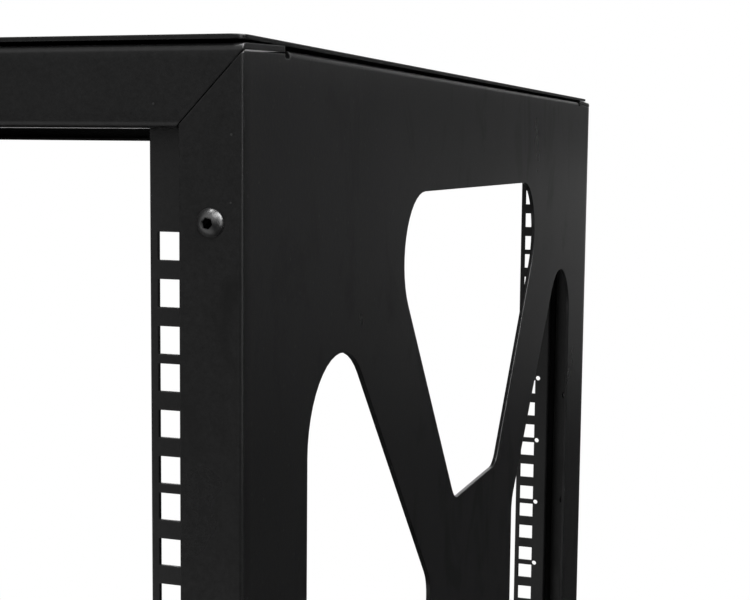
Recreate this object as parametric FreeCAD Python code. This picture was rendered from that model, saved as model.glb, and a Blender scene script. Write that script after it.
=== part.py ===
"""Open frame rack that bolts to a wall: folded sheet steel sides, mitred headers and punched rails.

Millimetres. X runs across the width, Y from the open front towards the wall, Z up.
The origin is at the centre of the footprint, on the underside of the bottom plate.
"""
import FreeCAD, Part
import math
import os

Vector = FreeCAD.Vector

# Overall sizes of the folded frame, without the plates above and below it.
frame_width = 534.0
frame_depth = 599.0
rack_units = 12
unit_pitch = 44.45
end_margin = 60.3            # from the last rack unit to the frame's top or bottom edge

# Sheet steel and its folds.
sheet = 2.0
plate_sheet = 1.5
rail_sheet = 1.5
fold_inner_radius = 0.5
corner_fold_radius = 1.3     # outside, at the sharp upright folds of the posts
flange_rise = 1.3            # of a flange's edge above its fold; the plates rest on these edges

# Side panels: post flanges at front and rear, edge flanges above and below.
post_flange = 22.0
edge_flange = 20.0
relief_length = 4.8          # notch between an edge flange and a header
relief_depth = 4.2
seam_gap = 0.6               # between a panel's edge and the header flange over it

# Headers: a face with mitred ends, a deep flange over the panels and a shallow lip.
header_height = 27.8
wall_header_height = 29.8
header_flange = 34.7
header_lip = 15.0
mitre_start = 2.2            # below the header's upper fold, at the outer corner
mitre_end = 1.5              # above the face's lower edge, at the post flange's inner edge
mitre_gap = 0.35
lip_end_gap = 0.5            # from the lip's end to the post flange's inner edge

# Cover plates.
plate_side_inset = 0.3
plate_front_inset = 0.3
plate_rear_inset = 9.0
plate_corner_radius = 5.0

# Trapezoid windows above and below the brace, measured to their sharp corners.
window_edge_drop = 52.3      # from the frame's edge to the long side
window_waist_drop = 204.5    # from the frame's edge to the short side
window_long_side = 320.8
window_short_side = 83.8
window_long_radius = 30.0
window_short_radius = 15.0

# Tall windows beside the brace.
bay_edge_inset = 57.2        # from the panel's front or rear face
bay_arch_drop = 110.2        # from the frame's edge to the top of the arch
bay_arch_radius = 33.6
bay_slope = 48.0             # degrees from the level, along the brace's arm
bay_waist_radius = 18.0
brace_stem_width = 165.0

# Rails for 19 inch equipment.
rail_opening = 450.0         # clear width between the rails' inner edges
rail_hole_spacing = 465.1    # between the two columns of square holes
rail_hole = 9.5
rail_setback = 19.0          # from the frame's face to the rail's face
rail_web_gap = 1.0           # from a post flange's inner edge to the rail's web
rail_foot_gap = 2.0          # from the screwed foot's edge to the fold of the side panel
rail_end_gap = 2.0           # from a rail's end to the header flange
unit_hole_offsets = (6.35, 22.225, 38.1)
unit_mark_offset = 14.1      # of the unit marks from the rail's inner edge
unit_mark_diameter = 3.2

# Screw holes.
screw_offset = 11.1          # from the panel's side to the line of rail screws
screw_heights = (269.6, 119.6)       # above and below mid-height
flange_screw_hole = 5.5
rail_screw_hole = 5.0        # in a rail's foot, for the thread
screw_end_depth = 1.0        # of a screw's end below the foot's inner face
rail_spare_height = 43.6     # spare hole in a rail's foot, above and below mid-height
wall_hole = 9.0
wall_hole_spacing = 406.4    # 16 inch stud centres
punch_sides = 12             # of the small holes that repeat along the rails

# Values worked out from those above.
half_width = frame_width / 2
half_depth = frame_depth / 2
frame_height = rack_units * unit_pitch + 2 * end_margin
frame_bottom = plate_sheet
frame_top = frame_bottom + frame_height
mid_height = frame_bottom + frame_height / 2
first_unit = frame_bottom + end_margin
fold_radius = fold_inner_radius + sheet
rail_fold_radius = fold_inner_radius + rail_sheet
fold_top = frame_top - flange_rise
post_inner = half_width - post_flange
screw_line = half_width - screw_offset
past = 5.0                   # how far a cutting tool runs past the sheet


def rounded_outline(points, radii):
    """Closed wire through the points, each corner rounded to its own radius."""
    count = len(points)
    starts = []
    ends = []
    middles = []
    for i in range(count):
        corner = points[i]
        if radii[i] == 0:
            starts.append(corner)
            ends.append(corner)
            middles.append(None)
            continue
        back = (points[i - 1] - corner).normalize()
        ahead = (points[(i + 1) % count] - corner).normalize()
        half_angle = back.getAngle(ahead) / 2
        tangent = radii[i] / math.tan(half_angle)
        starts.append(corner + back * tangent)
        ends.append(corner + ahead * tangent)
        bisector = (back + ahead).normalize()
        middles.append(corner + bisector * (radii[i] / math.sin(half_angle) - radii[i]))
    edges = []
    for i in range(count):
        if middles[i] is not None:
            edges.append(Part.Arc(starts[i], middles[i], ends[i]).toShape())
        following = starts[(i + 1) % count]
        if ends[i].distanceToPoint(following) > 1e-6:
            edges.append(Part.LineSegment(ends[i], following).toShape())
    return Part.Wire(edges)


def prism(points, radii, sweep):
    """Solid made by sweeping a rounded outline along a vector."""
    return Part.Face(rounded_outline(points, radii)).extrude(sweep)


def mirrored(shape, normal):
    """Copy of a shape on the other side of the frame's centre, across X, Y or mid-height."""
    centre = Vector(0, 0, mid_height)
    return shape.mirror(centre, normal)


def with_mirror(shapes, normal):
    """The shapes and their mirror images in one list."""
    return shapes + [mirrored(shape, normal) for shape in shapes]


def mitre_wedge(of_header, height):
    """Cutting tool for the header's or the panel's side of the mitre, at the front upper corner on +X.

    The mitre runs inwards and down, from the outer corner to the post flange's inner edge.
    The height is that of the header."""
    outer = Vector(half_width, 0, fold_top - mitre_start)
    inner = Vector(post_inner, 0, frame_top - height + mitre_end)
    along = (inner - outer).normalize()
    outward = Vector(-along.z, 0, along.x)
    shift = outward * (-mitre_gap / 2 if of_header else mitre_gap / 2)
    upper = outer - along * 2 * past + shift
    lower = inner + along * 2 * past + shift
    if of_header:
        corner = Vector(upper.x, 0, lower.z)
    else:
        corner = Vector(lower.x, 0, upper.z)
    wedge = prism([upper, lower, corner], [0, 0, 0], Vector(0, fold_radius + past, 0))
    wedge.translate(Vector(0, -half_depth - past, 0))
    return wedge


def folded_channel():
    """Side panel on +X before cutting: web and post flanges, without its edge flanges."""
    inner = half_width - sheet
    section = [
        Vector(post_inner, -half_depth, 0),
        Vector(half_width, -half_depth, 0),
        Vector(half_width, half_depth, 0),
        Vector(post_inner, half_depth, 0),
        Vector(post_inner, half_depth - sheet, 0),
        Vector(inner, half_depth - sheet, 0),
        Vector(inner, sheet - half_depth, 0),
        Vector(post_inner, sheet - half_depth, 0),
    ]
    radii = [0, corner_fold_radius, corner_fold_radius, 0, 0, 0, 0, 0]
    height = frame_height - 2 * (sheet + seam_gap)
    channel = prism(section, radii, Vector(0, 0, height))
    channel.translate(Vector(0, 0, frame_bottom + sheet + seam_gap))
    return channel


def header_seat():
    """Cutting tool that fits the panel's upper front corner to the rising flange of the header over it."""
    front = -half_depth
    end = front + header_flange
    drop = sheet + seam_gap
    steepness = flange_rise / header_flange
    outline = [
        Vector(post_inner - past, front - past, fold_top - drop - past * steepness),
        Vector(post_inner - past, end, frame_top - drop),
        Vector(post_inner - past, end, frame_top + past),
        Vector(post_inner - past, front - past, frame_top + past),
    ]
    return prism(outline, [0, 0, 0, 0], Vector(post_flange + 2 * past, 0, 0))


def edge_seat():
    """Cutting tool that clears the panel's upper edge for its flange, between the two headers."""
    start = -half_depth + header_flange
    corner = Vector(post_inner - past, start, fold_top - fold_radius)
    return Part.makeBox(post_flange + 2 * past, -2 * start, fold_radius + flange_rise + past, corner)


def edge_angle():
    """Upper edge flange of the panel on +X, folded inwards between the two headers."""
    start = -half_depth + header_flange + relief_length
    inner = half_width - sheet
    root = fold_top - fold_radius
    section = [
        Vector(half_width, start, root),
        Vector(half_width, start, fold_top),
        Vector(half_width - edge_flange, start, frame_top),
        Vector(half_width - edge_flange, start, frame_top - sheet),
        Vector(inner, start, fold_top - sheet),
        Vector(inner, start, root),
    ]
    radii = [0, fold_radius, 0, 0, fold_inner_radius, 0]
    return prism(section, radii, Vector(0, -2 * start, 0))


def trapezoid_window():
    """Cutting tool for the upper trapezoid window of the panel on +X."""
    x = half_width - sheet - past
    long_z = frame_top - window_edge_drop
    short_z = frame_top - window_waist_drop
    outline = [
        Vector(x, -window_long_side / 2, long_z),
        Vector(x, window_long_side / 2, long_z),
        Vector(x, window_short_side / 2, short_z),
        Vector(x, -window_short_side / 2, short_z),
    ]
    radii = [window_long_radius, window_long_radius, window_short_radius, window_short_radius]
    return prism(outline, radii, Vector(sheet + 2 * past, 0, 0))


def bay_window():
    """Cutting tool for the tall window in front of the brace, in the panel on +X."""
    x = half_width - sheet - past
    slope = math.tan(math.radians(bay_slope))
    edge_y = -half_depth + bay_edge_inset
    stem_y = -brace_stem_width / 2
    corner_angle = math.radians(90 - bay_slope) / 2
    arch_centre = frame_top - bay_arch_drop - bay_arch_radius
    peak_z = arch_centre + bay_arch_radius / math.tan(corner_angle)
    waist_z = peak_z - (stem_y - edge_y) * slope
    outline = [
        Vector(x, edge_y, peak_z),
        Vector(x, stem_y, waist_z),
        Vector(x, stem_y, 2 * mid_height - waist_z),
        Vector(x, edge_y, 2 * mid_height - peak_z),
    ]
    radii = [bay_arch_radius, bay_waist_radius, bay_waist_radius, bay_arch_radius]
    return prism(outline, radii, Vector(sheet + 2 * past, 0, 0))


def relief_notch():
    """Cutting tool for the notch between the front header and the upper edge flange."""
    start = -half_depth + header_flange
    x = half_width - fold_radius - past
    outline = [
        Vector(x, start, frame_top + past),
        Vector(x, start + relief_length, frame_top + past),
        Vector(x, start + relief_length, frame_top - relief_depth),
        Vector(x, start, frame_top - relief_depth),
    ]
    corner = relief_length / 4
    return prism(outline, [0, 0, corner, corner], Vector(fold_radius + 2 * past, 0, 0))


def drill_y(diameter, x, y, z, length):
    """Round cutting tool along Y, centred on the point."""
    return Part.makeCylinder(diameter / 2, length, Vector(x, y - length / 2, z), Vector(0, 1, 0))


def punch_y(diameter, x, y, z, length):
    """Cutting tool along Y for a small repeated hole, with few sides, centred on the point."""
    corners = []
    for side in range(punch_sides):
        angle = 2 * math.pi * (side + 0.5) / punch_sides
        across = diameter / 2 * math.cos(angle)
        up = diameter / 2 * math.sin(angle)
        corners.append(Vector(x + across, y - length / 2, z + up))
    return prism(corners, [0] * punch_sides, Vector(0, length, 0))


def side_panel():
    """Side panel on +X: one sheet folded on all four edges, with the brace's windows cut out."""
    y_axis = Vector(0, 1, 0)
    z_axis = Vector(0, 0, 1)
    seat_tools = with_mirror(with_mirror([header_seat()], y_axis) + [edge_seat()], z_axis)
    channel = folded_channel().cut(seat_tools)
    panel = channel.fuse(with_mirror([edge_angle()], z_axis)).removeSplitter()

    front_tools = [mitre_wedge(False, header_height), relief_notch()]
    rear_tools = [mitre_wedge(False, wall_header_height), relief_notch()]
    corner_tools = front_tools + [mirrored(tool, y_axis) for tool in rear_tools]
    corner_tools = with_mirror(corner_tools, z_axis)

    window_tools = with_mirror([trapezoid_window()], z_axis) + with_mirror([bay_window()], y_axis)

    screw_tools = []
    for height in screw_heights:
        for z in (mid_height - height, mid_height + height):
            hole = drill_y(flange_screw_hole, screw_line, -half_depth + sheet / 2, z, sheet + past)
            screw_tools += with_mirror([hole], y_axis)
    return panel.cut(corner_tools + window_tools + screw_tools)


def header(for_wall):
    """Upper header at the front: face, flange over the panels and lip, with mitred ends.

    A header for the wall side has two bolt holes."""
    front = -half_depth
    height = wall_header_height if for_wall else header_height
    low = frame_top - height
    section = [
        Vector(-half_width, front + header_lip, low),
        Vector(-half_width, front, low),
        Vector(-half_width, front, fold_top),
        Vector(-half_width, front + header_flange, frame_top),
        Vector(-half_width, front + header_flange, frame_top - sheet),
        Vector(-half_width, front + sheet, fold_top - sheet),
        Vector(-half_width, front + sheet, low + sheet),
        Vector(-half_width, front + header_lip, low + sheet),
    ]
    radii = [0, fold_radius, fold_radius, 0, 0, fold_inner_radius, fold_inner_radius, 0]
    channel = prism(section, radii, Vector(frame_width, 0, 0))

    lip_start = Vector(post_inner - lip_end_gap, front + fold_radius, low - past)
    lip_end = Part.makeBox(post_flange + lip_end_gap + past, header_lip, height / 2, lip_start)
    tools = with_mirror([mitre_wedge(True, height), lip_end], Vector(1, 0, 0))
    if for_wall:
        for x in (-wall_hole_spacing / 2, wall_hole_spacing / 2):
            z = frame_top - height / 2
            tools.append(drill_y(wall_hole, x, front + sheet / 2, z, sheet + past))
    return channel.cut(tools)


def cover_plate():
    """Flat plate on top of the frame, set back from the wall side."""
    x = half_width - plate_side_inset
    front = -half_depth + plate_front_inset
    rear = half_depth - plate_rear_inset
    outline = [
        Vector(-x, front, frame_top),
        Vector(x, front, frame_top),
        Vector(x, rear, frame_top),
        Vector(-x, rear, frame_top),
    ]
    return prism(outline, [plate_corner_radius] * 4, Vector(0, 0, plate_sheet))


def rail():
    """Front rail on +X: a Z section with square holes, a mark at each rack unit and a screwed foot."""
    inner = rail_opening / 2
    web = post_inner + rail_web_gap
    face = -half_depth + rail_setback
    seat = -half_depth + sheet
    foot_end = half_width - fold_radius - rail_foot_gap
    bottom = frame_bottom + sheet + rail_end_gap
    length = frame_height - 2 * (sheet + rail_end_gap)
    section = [
        Vector(inner, face, bottom),
        Vector(web, face, bottom),
        Vector(web, seat, bottom),
        Vector(foot_end, seat, bottom),
        Vector(foot_end, seat + rail_sheet, bottom),
        Vector(web + rail_sheet, seat + rail_sheet, bottom),
        Vector(web + rail_sheet, face + rail_sheet, bottom),
        Vector(inner, face + rail_sheet, bottom),
    ]
    radii = [0, fold_inner_radius, rail_fold_radius, 0, 0, fold_inner_radius, rail_fold_radius, 0]
    strip = prism(section, radii, Vector(0, 0, length))

    face_middle = face + rail_sheet / 2
    tools = []
    for unit in range(rack_units):
        for offset in unit_hole_offsets:
            z = first_unit + unit * unit_pitch + offset
            corner = Vector(rail_hole_spacing / 2 - rail_hole / 2, face - past, z - rail_hole / 2)
            tools.append(Part.makeBox(rail_hole, rail_sheet + 2 * past, rail_hole, corner))
    for mark in range(rack_units + 1):
        z = first_unit + mark * unit_pitch
        x = inner + unit_mark_offset
        tools.append(punch_y(unit_mark_diameter, x, face_middle, z, rail_sheet + past))
    foot = seat + rail_sheet
    for height in screw_heights:
        for z in (mid_height - height, mid_height + height):
            tools.append(punch_y(rail_screw_hole, screw_line, foot, z, 2 * screw_end_depth))
    for z in (mid_height - rail_spare_height, mid_height + rail_spare_height):
        tools.append(punch_y(rail_screw_hole, screw_line, foot, z, 2 * (rail_sheet + past)))
    return strip.cut(tools)


def assemble():
    """All pieces by name, each in its place."""
    x_axis = Vector(1, 0, 0)
    y_axis = Vector(0, 1, 0)
    z_axis = Vector(0, 0, 1)

    right_panel = side_panel()
    front_header = header(for_wall=False)
    wall_header = mirrored(header(for_wall=True), y_axis)
    top_plate = cover_plate()
    front_right_rail = rail()
    front_left_rail = mirrored(front_right_rail, x_axis)
    return {
        "right_side_panel": right_panel,
        "left_side_panel": mirrored(right_panel, x_axis),
        "front_top_header": front_header,
        "front_bottom_header": mirrored(front_header, z_axis),
        "rear_top_header": wall_header,
        "rear_bottom_header": mirrored(wall_header, z_axis),
        "top_plate": top_plate,
        "bottom_plate": mirrored(top_plate, z_axis),
        "front_right_rail": front_right_rail,
        "front_left_rail": front_left_rail,
        "rear_right_rail": mirrored(front_right_rail, y_axis),
        "rear_left_rail": mirrored(front_left_rail, y_axis),
    }


os.makedirs("parts", exist_ok=True)
for name, shape in assemble().items():
    solids = shape.Solids
    piece = solids[0] if len(solids) == 1 else Part.makeCompound(solids)
    piece.exportStep("parts/" + name + ".step")
    print(name, len(solids), piece.isValid(), round(piece.Volume), len(piece.Faces))
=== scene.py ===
"""Open frame rack of folded black sheet steel, standing on a pale floor in a soft white studio.

Metres, in the frame's own axes: X across the width, Y from the open front towards the wall, Z up.
"""
import functools
import math

import bpy
from mathutils import Matrix, Vector


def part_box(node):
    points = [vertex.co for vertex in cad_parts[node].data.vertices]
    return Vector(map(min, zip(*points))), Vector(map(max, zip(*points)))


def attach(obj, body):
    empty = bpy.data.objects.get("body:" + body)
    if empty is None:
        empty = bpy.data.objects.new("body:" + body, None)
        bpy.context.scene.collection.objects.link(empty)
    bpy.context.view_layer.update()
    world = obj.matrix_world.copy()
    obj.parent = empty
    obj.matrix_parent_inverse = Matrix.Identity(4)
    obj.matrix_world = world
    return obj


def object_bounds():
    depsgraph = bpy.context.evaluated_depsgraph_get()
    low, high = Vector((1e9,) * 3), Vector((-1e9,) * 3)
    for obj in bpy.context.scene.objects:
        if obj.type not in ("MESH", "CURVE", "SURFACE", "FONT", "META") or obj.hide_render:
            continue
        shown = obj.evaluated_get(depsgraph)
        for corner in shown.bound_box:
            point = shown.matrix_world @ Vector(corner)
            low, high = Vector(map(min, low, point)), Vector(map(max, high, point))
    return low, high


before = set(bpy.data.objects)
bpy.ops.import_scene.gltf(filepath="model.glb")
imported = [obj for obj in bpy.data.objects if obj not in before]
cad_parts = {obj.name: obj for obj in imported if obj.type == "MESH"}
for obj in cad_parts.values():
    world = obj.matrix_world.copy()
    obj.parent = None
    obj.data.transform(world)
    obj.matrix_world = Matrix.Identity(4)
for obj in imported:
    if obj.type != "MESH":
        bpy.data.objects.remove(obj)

cad_low, cad_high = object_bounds()

MM = 0.001
RISING = (0.0, 1.0)
FALLING = (1.0, 0.0)
WHITE = (1.0, 1.0, 1.0, 1.0)


def headings(first, last):
    """Two headings given in degrees, counted from straight behind the rack towards its right."""
    return math.radians(first), math.radians(last)


# Camera, solved from the square holes of the rails.
CAMERA_PLACE = Vector((0.45046, -0.71712, 0.62212))
CAMERA_HEADING = math.radians(18.481)    # to the left of straight ahead
CAMERA_TILT = math.radians(-5.98)
CAMERA_ROLL = math.radians(0.578)
CAMERA_LENS = 69.67
SENSOR_WIDTH = 36.0
NEAR_CLIP = 0.01
FAR_CLIP = 100.0

# Button head screws that hold the rails' feet to the post flanges.
SCREW_INSET = 11.1 * MM                  # from the panel's side to the line of screws
SCREW_HEIGHTS = (269.6 * MM, 119.6 * MM)     # above and below mid-height
HEAD_RADIUS = 4.75 * MM
HEAD_RIM = 0.35 * MM
HEAD_FLAT_RADIUS = 1.85 * MM
DOME_RADIUS = 5.45 * MM
HEAD_SIDES = 48
DOME_STEPS = 8
SOCKET_FLATS = 3.0 * MM
SOCKET_CORNERS = SOCKET_FLATS / 2 / math.cos(math.pi / 6)    # their distance from the axis
SOCKET_DEPTH = 1.9 * MM
SOCKET_POINT = 0.5 * MM
SOCKET_POINT_SHRINK = 0.1
SOCKET_TURN = math.radians(17.0)
TURN_STEP = math.radians(23.0)           # from one screw's socket to the next
SHANK_RADIUS = 2.35 * MM
SHANK_LENGTH = 3.1 * MM
SHANK_CHAMFER = 0.5 * MM
BARE_END = 1.2 * SHANK_CHAMFER           # length of the shank's uncoated end
SCREW_EDGE = 0.22 * MM
SHARP_ANGLE = math.radians(32.0)
FLAT_NORMAL = 0.9                        # least Z of the normal of a face that lies across the axis

# Soft rolls of the sheet towards its folds.
ROLL_LENGTH = 16.0 * MM                  # beside a side panel's upper and lower folds
ROLL_DEPTH = 1.0 * MM
POST_ROLL_LENGTH = 7.0 * MM              # beside its upright folds
POST_ROLL_DEPTH = 0.35 * MM
PANEL_FACE = 0.15 * MM                   # depth that still counts as the panel's outer face
HEADER_RISE = 27.8 * MM                  # height of the front headers' faces
HEADER_ROLL_LENGTH = 6.0 * MM
HEADER_ROLL_DEPTH = 0.5 * MM
HEADER_FACE = (0.8 * MM, 0.1 * MM)       # depths over which the headers' outer face begins
POST_WIDTH = 22.0 * MM

# Powder coat.
PEEL_SCALE = 0.35                        # grains of the orange peel to one fine grain
PEEL_HEIGHT = 0.8                        # of the orange peel to that of the fine grain
GRAIN_CONTRAST = 1.0                     # of the coat's tone, over the height of its grain
GRAIN_MIDDLE = 0.9
LEAST_LIGHTNESS = 0.1
GRAIN_BUMP = 0.5
GRAIN_DEPTH = 0.05 * MM
ROUNDED_EDGE = 0.7 * MM
CLOUD_TONES = (0.8, 1.2)
CLOUD_ROUGHNESS = 0.08
SPECK_STRENGTHS = (0.2, 1.0)
SMEAR_PLACE = (0.0, -3.7, 3.3)
SMEAR_STRETCH = (20.0, 20.0, 11.0)
SMEAR_LEVELS = (0.53, 0.72)              # of the noise, over which a smear begins
SMEAR_TONE = 0.45
SMEAR_ROUGHNESS = 0.06
FRAME_COAT = {"tone": (0.012, 0.012, 0.0122), "dusty_tone": (0.04, 0.04, 0.04), "grains": 1400.0,
              "roughness": 0.25, "gloss": 0.4, "speck_size": 0.17}
RAIL_COAT = {"tone": (0.011, 0.011, 0.0112), "dusty_tone": (0.035, 0.035, 0.035), "grains": 1700.0,
             "roughness": 0.28, "gloss": 0.65, "speck_size": 0.14}

# Finishes of the screws.
SCREW_GRAIN_ROUGHNESS = 0.1
SCREW_GRAIN_BUMP = 0.4

# Studio. A level of 1 is white, and a depth, side or height is that part of a direction, from -1 to 1.
FILL_LEVEL = 0.15
FILL_IN_FRONT = 0.4
FILL_DEPTHS = (-0.9, -0.1)

BACKDROP_LEFT = headings(-48.0, -38.0)       # over which the white backdrop begins
BACKDROP_RIGHT = headings(-3.0, 8.5)         # and ends
BACKDROP_HIGH_RIGHT = headings(0.0, 12.0)    # the same, above the horizon's dim band
BACKDROP_HIGH = (0.07, 0.15)
BACKDROP_TOP = (0.3, 0.6)
BACKDROP_LEFT_LEVEL = 3.0
BACKDROP_EVEN = headings(-26.0, -18.0)       # over which it falls to white
FLOOR_RIGHT = headings(1.0, 10.5)            # over which the far floor's white ends
HORIZON = (-0.015, 0.005)

ROOM_BESIDE = 0.03
ROOM_LEFT = 0.18
ROOM_LEFT_SIDES = (-0.95, -0.75)
ROOM_IN_FRONT = 0.21
ROOM_FRONT_DEPTHS = (-0.75, -0.3)
ROOM_BEHIND = 0.022
ROOM_BEHIND_RIGHT = 0.088
ROOM_BEHIND_STEP = headings(16.0, 26.0)      # from the one to the other
ROOM_RIGHT = headings(26.0, 38.0)            # over which the room behind ends
ROOM_ABOVE = 0.5
ROOM_ABOVE_HEIGHTS = (0.45, 0.95)
ROOM_HIGH_IN_FRONT = 0.7
ROOM_HIGH_HEIGHTS = (0.04, 0.55)
ROOM_HIGH_DEPTHS = (-0.5, -0.1)

REFLECTOR_LEVEL = 0.12
REFLECTOR_LEFT = headings(12.0, 26.0)
REFLECTOR_RIGHT = headings(60.0, 90.0)
REFLECTOR_FOOT = (0.04, 0.25)
HIGH_LIGHT_LEVEL = 14.0
HIGH_LIGHT_LEFT = headings(48.0, 58.0)
HIGH_LIGHT_RIGHT = headings(90.0, 110.0)
HIGH_LIGHT_FOOT = (0.36, 0.46)
HIGH_LIGHT_TOP = (0.85, 0.95)

# Floor. Its own spans are places in metres.
FLOOR_SIZE = 30.0
FLOOR_TONE = (0.62, 0.62, 0.62, 1.0)
FLOOR_GLOW = 0.45
FLOOR_RUNS_OUT = (0.6, 1.2)                  # from the middle, to white
FLOOR_BOUNCE = (0.8, 0.8, 0.8, 1.0)
FLOOR_BACK = (1.6, 3.8)
FLOOR_BEHIND = 0.016
FLOOR_BEHIND_RIGHT = 0.052
FLOOR_BESIDE = headings(36.0, 50.0)
FLOOR_BESIDE_SHARE = 0.3
FLOOR_FRONT = (-0.5, -0.35)
FLOOR_FRONT_RIGHT = (0.15, 0.55)
FLOOR_FRONT_RIGHT_SHARE = 0.1
FLOOR_NEAR = 0.6
FLOOR_FAR = 0.21
FLOOR_NEAR_ENDS = (-1.3, -1.0)

# Lamps: name, place, the point they face, size and power.
LAMPS = (
    ("overhead_softbox", (-0.1, 0.1, 2.7), (0, 0.05, 0), (1.2, 1.2), 60.0),
    ("key_softbox", (1.2, -1.1, 2.3), (0.1, -0.1, 0.4), (1.2, 1.1), 16.0),
    ("right_strip", (2.4, -0.9, 0.9), (0.2, 0, 0.5), (0.5, 1.8), 8.0),
)


# Modelling helpers.

def deselect_all():
    """Leaves object mode with nothing selected."""
    if bpy.context.object and bpy.context.object.mode != "OBJECT":
        bpy.ops.object.mode_set(mode="OBJECT")
    bpy.ops.object.select_all(action="DESELECT")


def make_active(piece):
    """Selects one object and makes it the active one."""
    deselect_all()
    piece.select_set(True)
    bpy.context.view_layer.objects.active = piece


def select_faces(piece, wanted):
    """Selects the faces of the piece that pass the test, and ends in edit mode."""
    bpy.ops.object.mode_set(mode="EDIT")
    bpy.ops.mesh.select_mode(type="FACE")
    bpy.ops.mesh.select_all(action="DESELECT")
    bpy.ops.object.mode_set(mode="OBJECT")
    for face in piece.data.polygons:
        face.select = wanted(face)
    bpy.ops.object.mode_set(mode="EDIT")


def add_cylinder(sides, radius, depth, middle):
    """A capped cylinder along Z with its middle at this height, and its place in its mesh."""
    deselect_all()
    bpy.ops.mesh.primitive_cylinder_add(
        vertices=sides, radius=radius, depth=depth, end_fill_type="NGON", location=(0, 0, middle))
    bpy.ops.object.transform_apply(location=True, rotation=True, scale=True)
    return bpy.context.object


def extrude_and_shrink(rise, shrink, level):
    """Pulls the selected face along Z by rise and scales it about the axis at the new level."""
    bpy.ops.mesh.extrude_region_move(TRANSFORM_OT_translate={"value": (0, 0, rise)})
    bpy.ops.transform.resize(value=(shrink, shrink, 1), center_override=(0, 0, level))


def apply_modifier(piece, kind, **settings):
    """Adds a modifier with these settings and applies it."""
    modifier = piece.modifiers.new(kind.lower(), kind)
    for name, value in settings.items():
        setattr(modifier, name, value)
    make_active(piece)
    bpy.ops.object.modifier_apply(modifier=modifier.name)


# Node helpers.

def link(source, target):
    """Joins two sockets of one node tree."""
    source.id_data.links.new(source, target)


def new_node(tree, kind, values=None, **settings):
    """Adds a node and sets its properties and inputs. An input takes a plain value or a socket."""
    node = tree.nodes.new(kind)
    for name, value in settings.items():
        setattr(node, name, value)
    for name, value in (values or {}).items():
        if isinstance(value, bpy.types.NodeSocket):
            link(value, node.inputs[name])
        else:
            node.inputs[name].default_value = value
    return node


def new_group(name, inputs, outputs):
    """Starts a shader node group with named sockets. Returns the group, its entry and its exit."""
    group = bpy.data.node_groups.new(name, "ShaderNodeTree")
    for socket_name, kind, value in inputs:
        socket = group.interface.new_socket(name=socket_name, in_out="INPUT", socket_type=kind)
        if value is not None:
            socket.default_value = value
    for socket_name in outputs:
        group.interface.new_socket(name=socket_name, in_out="OUTPUT", socket_type="NodeSocketFloat")
    return group, group.nodes.new("NodeGroupInput").outputs, group.nodes.new("NodeGroupOutput").inputs


def math_node(tree, operation, *values, clamp=False):
    """A Math node fed by sockets or plain numbers."""
    return new_node(tree, "ShaderNodeMath", dict(enumerate(values)), operation=operation, use_clamp=clamp).outputs[0]


def chain(tree, operation, *values):
    """Takes all the values together by one operation, from left to right."""
    return functools.reduce(lambda first, second: math_node(tree, operation, first, second), values)


def smooth_step(tree, value, span, results=RISING):
    """Goes smoothly from the first result to the second while the value crosses the span."""
    return new_node(tree, "ShaderNodeMapRange", {
        "Value": value, "From Min": span[0], "From Max": span[1], "To Min": results[0], "To Max": results[1],
    }, interpolation_type="SMOOTHSTEP", clamp=True).outputs["Result"]


def distance_from(tree, value, middle):
    """How far a value is from a middle, to either side."""
    return math_node(tree, "ABSOLUTE", math_node(tree, "SUBTRACT", value, middle))


def noise(tree, place, scale, detail, roughness, **more):
    """Noise texture's grey value at a place."""
    values = {"Vector": place, "Scale": scale, "Detail": detail, "Roughness": roughness, **more}
    return new_node(tree, "ShaderNodeTexNoise", values).outputs["Fac"]


def mix_colours(tree, factor, first, second):
    """Mixes two colours, each a socket or three plain numbers."""
    ends = {name: colour if isinstance(colour, bpy.types.NodeSocket) else (*colour, 1)
            for name, colour in (("A", first), ("B", second))}
    return new_node(tree, "ShaderNodeMix", {"Factor": factor, **ends}, data_type="RGBA").outputs["Result"]


def mix_shaders(tree, factor, first, second):
    """Goes from one shader node to another by a factor."""
    return new_node(tree, "ShaderNodeMixShader", {0: factor, 1: first.outputs[0], 2: second.outputs[0]})


def start_tree(owner, output):
    """Gives a material or world an empty node tree with its output. Returns the tree and the output's surface."""
    owner.use_nodes = True
    tree = owner.node_tree
    tree.nodes.clear()
    return tree, new_node(tree, output).inputs["Surface"]


def start_finish(name):
    """A new material with only its output. Returns it, its tree, the output's surface and the place on the object."""
    material = bpy.data.materials.new(name)
    tree, surface = start_tree(material, "ShaderNodeOutputMaterial")
    return material, tree, surface, new_node(tree, "ShaderNodeTexCoord").outputs["Object"]


# Shader node groups that the finishes share.

def powder_grain_group():
    """Fine orange peel of a powder coat, and the faint cloudiness of its tone."""
    group, entry, leave = new_group(
        "powder_grain",
        [("Place", "NodeSocketVector", None), ("Grains per Metre", "NodeSocketFloat", 1400.0),
         ("Clouds per Metre", "NodeSocketFloat", 14.0)],
        ["Height", "Cloud"])
    place, grains = entry["Place"], entry["Grains per Metre"]
    fine = noise(group, place, grains, 2.0, 0.6)
    peel = noise(group, place, math_node(group, "MULTIPLY", grains, PEEL_SCALE), 1.0, 0.5)
    link(math_node(group, "MULTIPLY_ADD", peel, PEEL_HEIGHT, fine), leave["Height"])
    link(noise(group, place, entry["Clouds per Metre"], 3.0, 0.55), leave["Cloud"])
    return group


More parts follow.
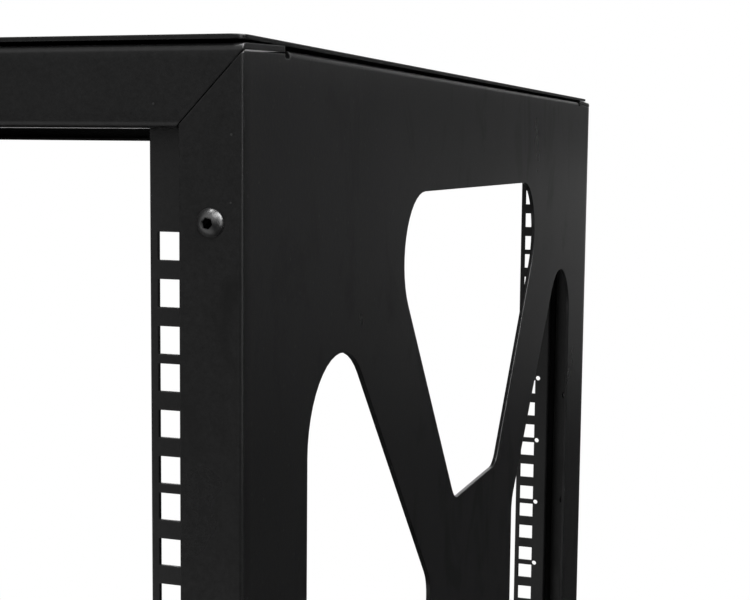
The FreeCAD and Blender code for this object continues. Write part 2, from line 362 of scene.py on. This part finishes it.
def dust_group():
    """Sparse pale specks of dust, and upright smears left by handling."""
    group, entry, leave = new_group(
        "dust_and_smears",
        [("Place", "NodeSocketVector", None), ("Cells per Metre", "NodeSocketFloat", 220.0),
         ("Speck Size", "NodeSocketFloat", 0.1)],
        ["Specks", "Smears"])
    cells = new_node(group, "ShaderNodeTexVoronoi", {
        "Vector": entry["Place"], "Scale": entry["Cells per Metre"], "Randomness": 1.0}, feature="F1")
    tint = new_node(group, "ShaderNodeSeparateColor", {"Color": cells.outputs["Color"]})
    size = math_node(group, "MULTIPLY", tint.outputs["Red"], entry["Speck Size"])
    inside = math_node(group, "LESS_THAN", cells.outputs["Distance"], size)
    strength = smooth_step(group, tint.outputs["Green"], SPECK_STRENGTHS)
    link(math_node(group, "MULTIPLY", inside, strength), leave["Specks"])

    stretched = new_node(group, "ShaderNodeMapping", {
        "Vector": entry["Place"], "Location": SMEAR_PLACE, "Scale": SMEAR_STRETCH}).outputs["Vector"]
    link(smooth_step(group, noise(group, stretched, 1.6, 4.0, 0.6, Distortion=0.6), SMEAR_LEVELS), leave["Smears"])
    return group


def roll_depth(tree, distance, reach, length, depth):
    """Depth in millimetres of a roll that bends away more and more over its length, up to its reach."""
    start = math_node(tree, "SUBTRACT", distance, reach - length)
    along = math_node(tree, "DIVIDE", start, length, clamp=True)
    return chain(tree, "MULTIPLY", along, along, depth / MM)


def edge_roll_group():
    """Depth in millimetres of the soft roll that side panels and headers have towards their folds.

    The headers' roll comes with the mask of their outer faces.
    """
    group, entry, leave = new_group(
        "edge_roll", [("Place", "NodeSocketVector", None)], ["Panel Depth", "Header Depth", "Header Mask"])
    place = new_node(group, "ShaderNodeSeparateXYZ", {"Vector": entry["Place"]}).outputs
    middle, half = (cad_low + cad_high) / 2, (cad_high - cad_low) / 2
    across = math_node(group, "ABSOLUTE", place["X"])
    height = distance_from(group, place["Z"], middle.z)
    at_edges = roll_depth(group, height, half.z, ROLL_LENGTH, ROLL_DEPTH)
    at_posts = roll_depth(
        group, distance_from(group, place["Y"], middle.y), half.y, POST_ROLL_LENGTH, POST_ROLL_DEPTH)
    outer = math_node(group, "GREATER_THAN", across, cad_high.x - PANEL_FACE)
    link(math_node(group, "MULTIPLY", math_node(group, "ADD", at_edges, at_posts), outer), leave["Panel Depth"])

    low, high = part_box("front_top_header")
    above = math_node(group, "SUBTRACT", height, high.z - HEADER_RISE / 2 - middle.z)
    from_line = math_node(group, "ABSOLUTE", above)
    link(roll_depth(group, from_line, HEADER_RISE / 2, HEADER_ROLL_LENGTH, HEADER_ROLL_DEPTH), leave["Header Depth"])
    faces = smooth_step(group, math_node(group, "ABSOLUTE", place["Y"]), [-low.y - depth for depth in HEADER_FACE])
    between_posts = math_node(group, "LESS_THAN", across, cad_high.x - POST_WIDTH)
    own = math_node(group, "MAXIMUM", between_posts, math_node(group, "GREATER_THAN", above, 0.0))
    link(math_node(group, "MULTIPLY", faces, own), leave["Header Mask"])
    return group


# Finishes.

def powder_coat(name, groups, tone, dusty_tone, grains, roughness, gloss, speck_size):
    """Satin black powder coat: fine grain, cloudy tone, dust specks, smears and thin bright edges."""
    material, tree, surface, place = start_finish(name)
    grain = new_node(
        tree, "ShaderNodeGroup", node_tree=groups["grain"], values={"Place": place, "Grains per Metre": grains}).outputs
    dust = new_node(
        tree, "ShaderNodeGroup", node_tree=groups["dust"], values={"Place": place, "Speck Size": speck_size}).outputs
    roll = new_node(tree, "ShaderNodeGroup", node_tree=groups["roll"], values={"Place": place}).outputs

    rounded = new_node(tree, "ShaderNodeBevel", {"Radius": ROUNDED_EDGE}, samples=6)
    rolled = new_node(tree, "ShaderNodeBump", {
        "Strength": 1.0, "Distance": MM, "Height": roll["Panel Depth"], "Normal": rounded.outputs["Normal"],
    }, invert=True)
    header_rolled = new_node(tree, "ShaderNodeBump", {
        "Strength": 1.0, "Distance": MM, "Height": roll["Header Depth"], "Normal": rolled.outputs["Normal"],
    }, invert=True)
    smooth = new_node(tree, "ShaderNodeMix", {
        "Factor": roll["Header Mask"], "A": rolled.outputs["Normal"], "B": header_rolled.outputs["Normal"],
    }, data_type="VECTOR")
    grained = new_node(tree, "ShaderNodeBump", {
        "Strength": GRAIN_BUMP, "Distance": GRAIN_DEPTH, "Height": grain["Height"], "Normal": smooth.outputs["Result"]})

    dark, pale, smear_tone = ([channel * share for channel in tone] for share in (*CLOUD_TONES, SMEAR_TONE))
    cloudy = mix_colours(tree, grain["Cloud"], dark, pale)
    lightness = math_node(tree, "MULTIPLY_ADD", grain["Height"], GRAIN_CONTRAST, 1.0 - GRAIN_CONTRAST * GRAIN_MIDDLE)
    grainy = new_node(tree, "ShaderNodeVectorMath", {
        0: cloudy, "Scale": math_node(tree, "MAXIMUM", lightness, LEAST_LIGHTNESS)}, operation="SCALE")
    smeared = mix_colours(tree, dust["Smears"], grainy.outputs["Vector"], smear_tone)
    matt = math_node(tree, "MULTIPLY_ADD", dust["Smears"], SMEAR_ROUGHNESS, roughness)

    coat = new_node(tree, "ShaderNodeBsdfPrincipled", {
        "Metallic": 0.0, "IOR": 1.5, "Specular IOR Level": gloss,
        "Base Color": mix_colours(tree, dust["Specks"], smeared, dusty_tone),
        "Roughness": math_node(tree, "MULTIPLY_ADD", grain["Cloud"], CLOUD_ROUGHNESS, matt),
        "Normal": grained.outputs["Normal"]})
    link(coat.outputs["BSDF"], surface)
    return material


def grainy_steel(name, groups, grains, dark, pale, roughness, bump_strength=None, **values):
    """Steel of a screw, whose tone and roughness follow a fine grain."""
    material, tree, surface, place = start_finish(name)
    height = new_node(tree, "ShaderNodeGroup", node_tree=groups["grain"], values={
        "Place": place, "Grains per Metre": grains}).outputs["Height"]
    steel = new_node(tree, "ShaderNodeBsdfPrincipled", {
        **values, "Base Color": mix_colours(tree, height, dark, pale),
        "Roughness": math_node(tree, "MULTIPLY_ADD", height, SCREW_GRAIN_ROUGHNESS, roughness)})
    if bump_strength:
        bump = new_node(tree, "ShaderNodeBump", {"Strength": bump_strength, "Distance": GRAIN_DEPTH, "Height": height})
        link(bump.outputs["Normal"], steel.inputs["Normal"])
    link(steel.outputs["BSDF"], surface)
    return material


def screw_finishes(groups):
    """Glossy black of the screws, bare steel of their cut ends, and a darker matt black inside their sockets that is
    painted shade for the recess.
    """
    black = grainy_steel(
        "screw_black", groups, 2600.0, (0.007, 0.007, 0.0073), (0.013, 0.013, 0.0136), 0.24, SCREW_GRAIN_BUMP,
        **{"Metallic": 0.0, "Specular IOR Level": 1.0, "Coat Weight": 0.6, "Coat Roughness": 0.3})
    bare = grainy_steel(
        "screw_end_steel", groups, 3000.0, (0.42, 0.42, 0.43), (0.62, 0.62, 0.63), 0.3, **{"Metallic": 1.0})
    # Painted shade: the inside of the socket gets a nearly black, barely reflecting finish that stands for the shade
    # deep in the recess.
    shade = grainy_steel(
        "socket_painted_shade", groups, 3000.0, (0.002, 0.002, 0.002), (0.006, 0.006, 0.006), 0.5,
        **{"Specular IOR Level": 0.1})
    return black, bare, shade


def finish_nodes(frame_coat, rail_coat):
    """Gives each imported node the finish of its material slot."""
    for name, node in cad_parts.items():
        coat = rail_coat if name.endswith("rail") else frame_coat
        for slot in node.material_slots:
            slot.material = coat


# Screws.

def raise_dome(screw):
    """Pulls the head's upper face up in steps along the dome. Returns the height of the head's flat top."""
    select_faces(screw, lambda face: face.normal.z > FLAT_NORMAL)
    low_angle = math.asin(HEAD_RADIUS / DOME_RADIUS)
    high_angle = math.asin(HEAD_FLAT_RADIUS / DOME_RADIUS)
    radius, level = HEAD_RADIUS, HEAD_RIM
    for step in range(1, DOME_STEPS + 1):
        angle = low_angle + (high_angle - low_angle) * step / DOME_STEPS
        next_level = HEAD_RIM + DOME_RADIUS * (math.cos(angle) - math.cos(low_angle))
        next_radius = DOME_RADIUS * math.sin(angle)
        extrude_and_shrink(next_level - level, next_radius / radius, next_level)
        radius, level = next_radius, next_level
    return level


def pull_shank(screw):
    """Pulls the chamfered shank out of the head's underside."""
    select_faces(screw, lambda face: face.normal.z < -FLAT_NORMAL)
    bpy.ops.mesh.inset(thickness=HEAD_RADIUS - SHANK_RADIUS)
    bpy.ops.mesh.extrude_region_move(TRANSFORM_OT_translate={"value": (0, 0, -SHANK_LENGTH + SHANK_CHAMFER)})
    extrude_and_shrink(-SHANK_CHAMFER, 1 - SHANK_CHAMFER / SHANK_RADIUS, -SHANK_LENGTH)
    bpy.ops.object.mode_set(mode="OBJECT")


def cut_socket(screw, head_top):
    """Cuts the hexagon socket with its drill point into the head."""
    cutter = add_cylinder(6, SOCKET_CORNERS, 2 * SOCKET_DEPTH, head_top)
    select_faces(cutter, lambda face: face.normal.z < -FLAT_NORMAL)
    extrude_and_shrink(-SOCKET_POINT, SOCKET_POINT_SHRINK, head_top - SOCKET_DEPTH - SOCKET_POINT)
    bpy.ops.object.mode_set(mode="OBJECT")
    apply_modifier(screw, "BOOLEAN", operation="DIFFERENCE", object=cutter, solver="EXACT")
    bpy.data.objects.remove(cutter)


def model_screw(black, bare, shade):
    """One button head screw at the origin, head along +Z, with its hexagon socket and chamfered shank."""
    screw = add_cylinder(HEAD_SIDES, HEAD_RADIUS, HEAD_RIM, HEAD_RIM / 2)
    screw.name = "rail_screw"
    head_top = raise_dome(screw)
    pull_shank(screw)
    cut_socket(screw, head_top)
    apply_modifier(screw, "BEVEL", width=SCREW_EDGE, segments=2, limit_method="ANGLE", angle_limit=SHARP_ANGLE,
                   use_clamp_overlap=True)
    make_active(screw)
    bpy.ops.object.mode_set(mode="EDIT")
    bpy.ops.mesh.select_all(action="SELECT")
    bpy.ops.mesh.normals_make_consistent(inside=False)
    bpy.ops.object.mode_set(mode="OBJECT")
    bpy.ops.object.shade_smooth_by_angle(angle=SHARP_ANGLE)

    for material in (black, bare, shade):
        screw.data.materials.append(material)
    # Slot 1 is the bare cut end. Slot 2 puts the painted shade of the socket on the faces inside it.
    for index, wanted in (
            (1, lambda face: face.center.z < -SHANK_LENGTH + BARE_END),
            (2, lambda face: 0 < face.center.z < head_top - SCREW_EDGE and face.center.xy.length < SOCKET_CORNERS)):
        select_faces(screw, wanted)
        screw.active_material_index = index
        bpy.ops.object.material_slot_assign()
        bpy.ops.object.mode_set(mode="OBJECT")
    return screw


def place_screws(model):
    """A copy of the screw at each hole of the four post flanges, with its own mesh."""
    low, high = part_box("right_side_panel")
    middle = (low.z + high.z) / 2
    heights = sorted((middle + sign * height for height in SCREW_HEIGHTS for sign in (1, -1)), reverse=True)
    count = 0
    for end, face_y, face_turn in (("front", low.y, math.pi / 2), ("rear", high.y, -math.pi / 2)):
        for side, x in (("right", high.x - SCREW_INSET), ("left", SCREW_INSET - high.x)):
            for number, z in enumerate(heights, start=1):
                screw = model.copy()
                screw.data = model.data.copy()
                screw.name = "%s_%s_rail_screw_%d" % (end, side, number)
                screw.data.name = screw.name
                bpy.context.scene.collection.objects.link(screw)
                place = Matrix.Translation((x, face_y, z)) @ Matrix.Rotation(face_turn, 4, "X")
                screw.data.transform(place @ Matrix.Rotation(SOCKET_TURN + count * TURN_STEP, 4, "Z"))
                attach(screw, "root")
                count += 1
    bpy.data.objects.remove(model)


# Studio.

def studio_camera():
    """Camera at the photograph's view of the upper right front corner."""
    data = bpy.data.cameras.new("camera")
    data.lens = CAMERA_LENS
    data.sensor_width = SENSOR_WIDTH
    data.sensor_fit = "HORIZONTAL"
    data.clip_start = NEAR_CLIP
    data.clip_end = FAR_CLIP
    camera = bpy.data.objects.new("camera", data)
    bpy.context.scene.collection.objects.link(camera)
    camera.location = CAMERA_PLACE
    camera.rotation_euler = (math.pi / 2 + CAMERA_TILT, 0, CAMERA_HEADING)
    camera.rotation_euler.rotate_axis("Z", CAMERA_ROLL)
    bpy.context.scene.camera = camera


def backdrop_mask(tree, heading, height, left_side):
    """Where the white backdrop behind the rack shows in reflections."""
    low_side = smooth_step(tree, heading, BACKDROP_RIGHT, FALLING)
    high_side = math_node(tree, "MULTIPLY", smooth_step(tree, heading, BACKDROP_HIGH_RIGHT, FALLING),
                          smooth_step(tree, height, BACKDROP_HIGH))
    floor_side = math_node(tree, "MULTIPLY", smooth_step(tree, heading, FLOOR_RIGHT, FALLING),
                           smooth_step(tree, height, HORIZON, FALLING))
    right_side = chain(tree, "MAXIMUM", low_side, high_side, floor_side)
    return chain(tree, "MULTIPLY", right_side, left_side, smooth_step(tree, height, BACKDROP_TOP, FALLING))


def room_level(tree, direction, heading, left_side):
    """Level of the dim room around the rack in reflections."""
    overhead = smooth_step(tree, direction["Z"], ROOM_ABOVE_HEIGHTS, (0.0, ROOM_ABOVE))
    high_in_front = math_node(
        tree, "MULTIPLY", smooth_step(tree, direction["Z"], ROOM_HIGH_HEIGHTS, (0.0, ROOM_HIGH_IN_FRONT)),
        smooth_step(tree, direction["Y"], ROOM_HIGH_DEPTHS, FALLING))
    above = math_node(tree, "MAXIMUM", overhead, high_in_front)
    in_front = smooth_step(tree, direction["Y"], ROOM_FRONT_DEPTHS, (ROOM_IN_FRONT - ROOM_BESIDE, 0.0))
    distant = smooth_step(
        tree, heading, ROOM_BEHIND_STEP, (ROOM_BEHIND - ROOM_BESIDE, ROOM_BEHIND_RIGHT - ROOM_BESIDE))
    behind = chain(tree, "MULTIPLY", smooth_step(tree, heading, ROOM_RIGHT, FALLING), left_side, distant)
    on_left = smooth_step(tree, direction["X"], ROOM_LEFT_SIDES, (ROOM_LEFT - ROOM_BESIDE, 0.0))
    sides = math_node(tree, "ADD", on_left, ROOM_BESIDE)
    return math_node(tree, "ADD", above, chain(tree, "ADD", in_front, behind, sides))


def lights_level(tree, heading, height):
    """Level of the reflector and of the high light on the right in reflections."""
    reflector = chain(
        tree, "MULTIPLY", smooth_step(tree, heading, REFLECTOR_LEFT),
        smooth_step(tree, heading, REFLECTOR_RIGHT, (REFLECTOR_LEVEL, 0.0)), smooth_step(tree, height, REFLECTOR_FOOT))
    high_light = chain(
        tree, "MULTIPLY", smooth_step(tree, heading, HIGH_LIGHT_LEFT),
        smooth_step(tree, heading, HIGH_LIGHT_RIGHT, (HIGH_LIGHT_LEVEL, 0.0)),
        smooth_step(tree, height, HIGH_LIGHT_FOOT), smooth_step(tree, height, HIGH_LIGHT_TOP, FALLING))
    return math_node(tree, "ADD", reflector, high_light)


def studio_world():
    """White to the camera all round. In reflections, a white backdrop behind the rack and a dim room elsewhere."""
    world = bpy.data.worlds.new("studio")
    bpy.context.scene.world = world
    tree, surface = start_tree(world, "ShaderNodeOutputWorld")
    rays = new_node(tree, "ShaderNodeLightPath").outputs
    toward = new_node(tree, "ShaderNodeTexCoord").outputs["Generated"]
    direction = new_node(tree, "ShaderNodeSeparateXYZ", {"Vector": toward}).outputs
    heading = math_node(tree, "ARCTAN2", direction["X"], direction["Y"])
    left_side = smooth_step(tree, heading, BACKDROP_LEFT)
    dim = math_node(tree, "ADD", room_level(tree, direction, heading, left_side),
                    lights_level(tree, heading, direction["Z"]))
    bright = smooth_step(tree, heading, BACKDROP_EVEN, (BACKDROP_LEFT_LEVEL, 1.0))
    mirrored = mix_colours(tree, backdrop_mask(tree, heading, direction["Z"], left_side), dim, bright)

    white = new_node(tree, "ShaderNodeBackground", {"Color": WHITE, "Strength": 1.0})
    reflected = new_node(tree, "ShaderNodeBackground", {"Color": mirrored, "Strength": 1.0})
    fill = new_node(tree, "ShaderNodeBackground", {
        "Color": WHITE, "Strength": smooth_step(tree, direction["Y"], FILL_DEPTHS, (FILL_IN_FRONT, FILL_LEVEL))})
    around = mix_shaders(tree, rays["Is Glossy Ray"], fill, reflected)
    straight = math_node(tree, "MAXIMUM", rays["Is Camera Ray"], rays["Is Transmission Ray"])
    link(mix_shaders(tree, straight, around, white).outputs[0], surface)


def mirrored_floor_level(tree, place):
    """Level of the floor in reflections: dim near the rack, white far behind it, grey in front."""
    spot = new_node(tree, "ShaderNodeSeparateXYZ", {"Vector": place}).outputs
    heading = math_node(tree, "ARCTAN2", spot["X"], spot["Y"])
    far_white = math_node(tree, "MULTIPLY", smooth_step(tree, spot["Y"], FLOOR_BACK),
                          smooth_step(tree, heading, FLOOR_RIGHT, (1.0, FLOOR_BEHIND_RIGHT)))
    far_floor = math_node(tree, "MULTIPLY", math_node(tree, "MAXIMUM", far_white, FLOOR_BEHIND),
                          smooth_step(tree, heading, FLOOR_BESIDE, (1.0, FLOOR_BESIDE_SHARE)))
    in_front = chain(
        tree, "MULTIPLY", smooth_step(tree, spot["Y"], FLOOR_FRONT, FALLING),
        smooth_step(tree, spot["X"], FLOOR_FRONT_RIGHT, (1.0, FLOOR_FRONT_RIGHT_SHARE)),
        smooth_step(tree, spot["Y"], FLOOR_NEAR_ENDS, (FLOOR_FAR, FLOOR_NEAR)))
    return math_node(tree, "ADD", far_floor, in_front)


def studio_floor():
    """Pale floor that runs out to white and keeps the rack's soft shadow."""
    deselect_all()
    bpy.ops.mesh.primitive_plane_add(size=FLOOR_SIZE, location=(0, 0, cad_low.z))
    floor = bpy.context.object
    floor.name = "floor"
    material, tree, surface, place = start_finish("pale_floor")
    rays = new_node(tree, "ShaderNodeLightPath").outputs
    matt = new_node(tree, "ShaderNodeBsdfDiffuse", {"Color": FLOOR_TONE})
    glow = new_node(tree, "ShaderNodeEmission", {"Color": WHITE, "Strength": FLOOR_GLOW})
    lit = new_node(tree, "ShaderNodeAddShader", {0: matt.outputs[0], 1: glow.outputs[0]})
    white = new_node(tree, "ShaderNodeEmission", {"Color": WHITE, "Strength": 1.0})
    distance = new_node(tree, "ShaderNodeVectorMath", {0: place}, operation="LENGTH").outputs["Value"]
    pale = mix_shaders(tree, smooth_step(tree, distance, FLOOR_RUNS_OUT), lit, white)

    plain = new_node(tree, "ShaderNodeBsdfDiffuse", {"Color": FLOOR_BOUNCE})
    mirrored = new_node(tree, "ShaderNodeEmission", {"Color": WHITE, "Strength": mirrored_floor_level(tree, place)})
    bounced = mix_shaders(tree, rays["Is Glossy Ray"], plain, mirrored)
    link(mix_shaders(tree, rays["Is Camera Ray"], bounced, pale).outputs[0], surface)
    floor.data.materials.append(material)


def softbox(name, place, aim, size, power):
    """Rectangular lamp that faces a point."""
    data = bpy.data.lights.new(name, "AREA")
    data.shape = "RECTANGLE"
    data.size, data.size_y = size
    data.energy = power
    lamp = bpy.data.objects.new(name, data)
    bpy.context.scene.collection.objects.link(lamp)
    lamp.location = place
    lamp.rotation_euler = (Vector(aim) - Vector(place)).to_track_quat("-Z", "Y").to_euler()
    lamp.visible_camera = False


shared = {"grain": powder_grain_group(), "dust": dust_group(), "roll": edge_roll_group()}
finish_nodes(powder_coat("frame_coat", shared, **FRAME_COAT), powder_coat("rail_coat", shared, **RAIL_COAT))
place_screws(model_screw(*screw_finishes(shared)))

bpy.context.scene.view_settings.view_transform = "Standard"
studio_camera()
studio_world()
studio_floor()
for lamp in LAMPS:
    softbox(*lamp)
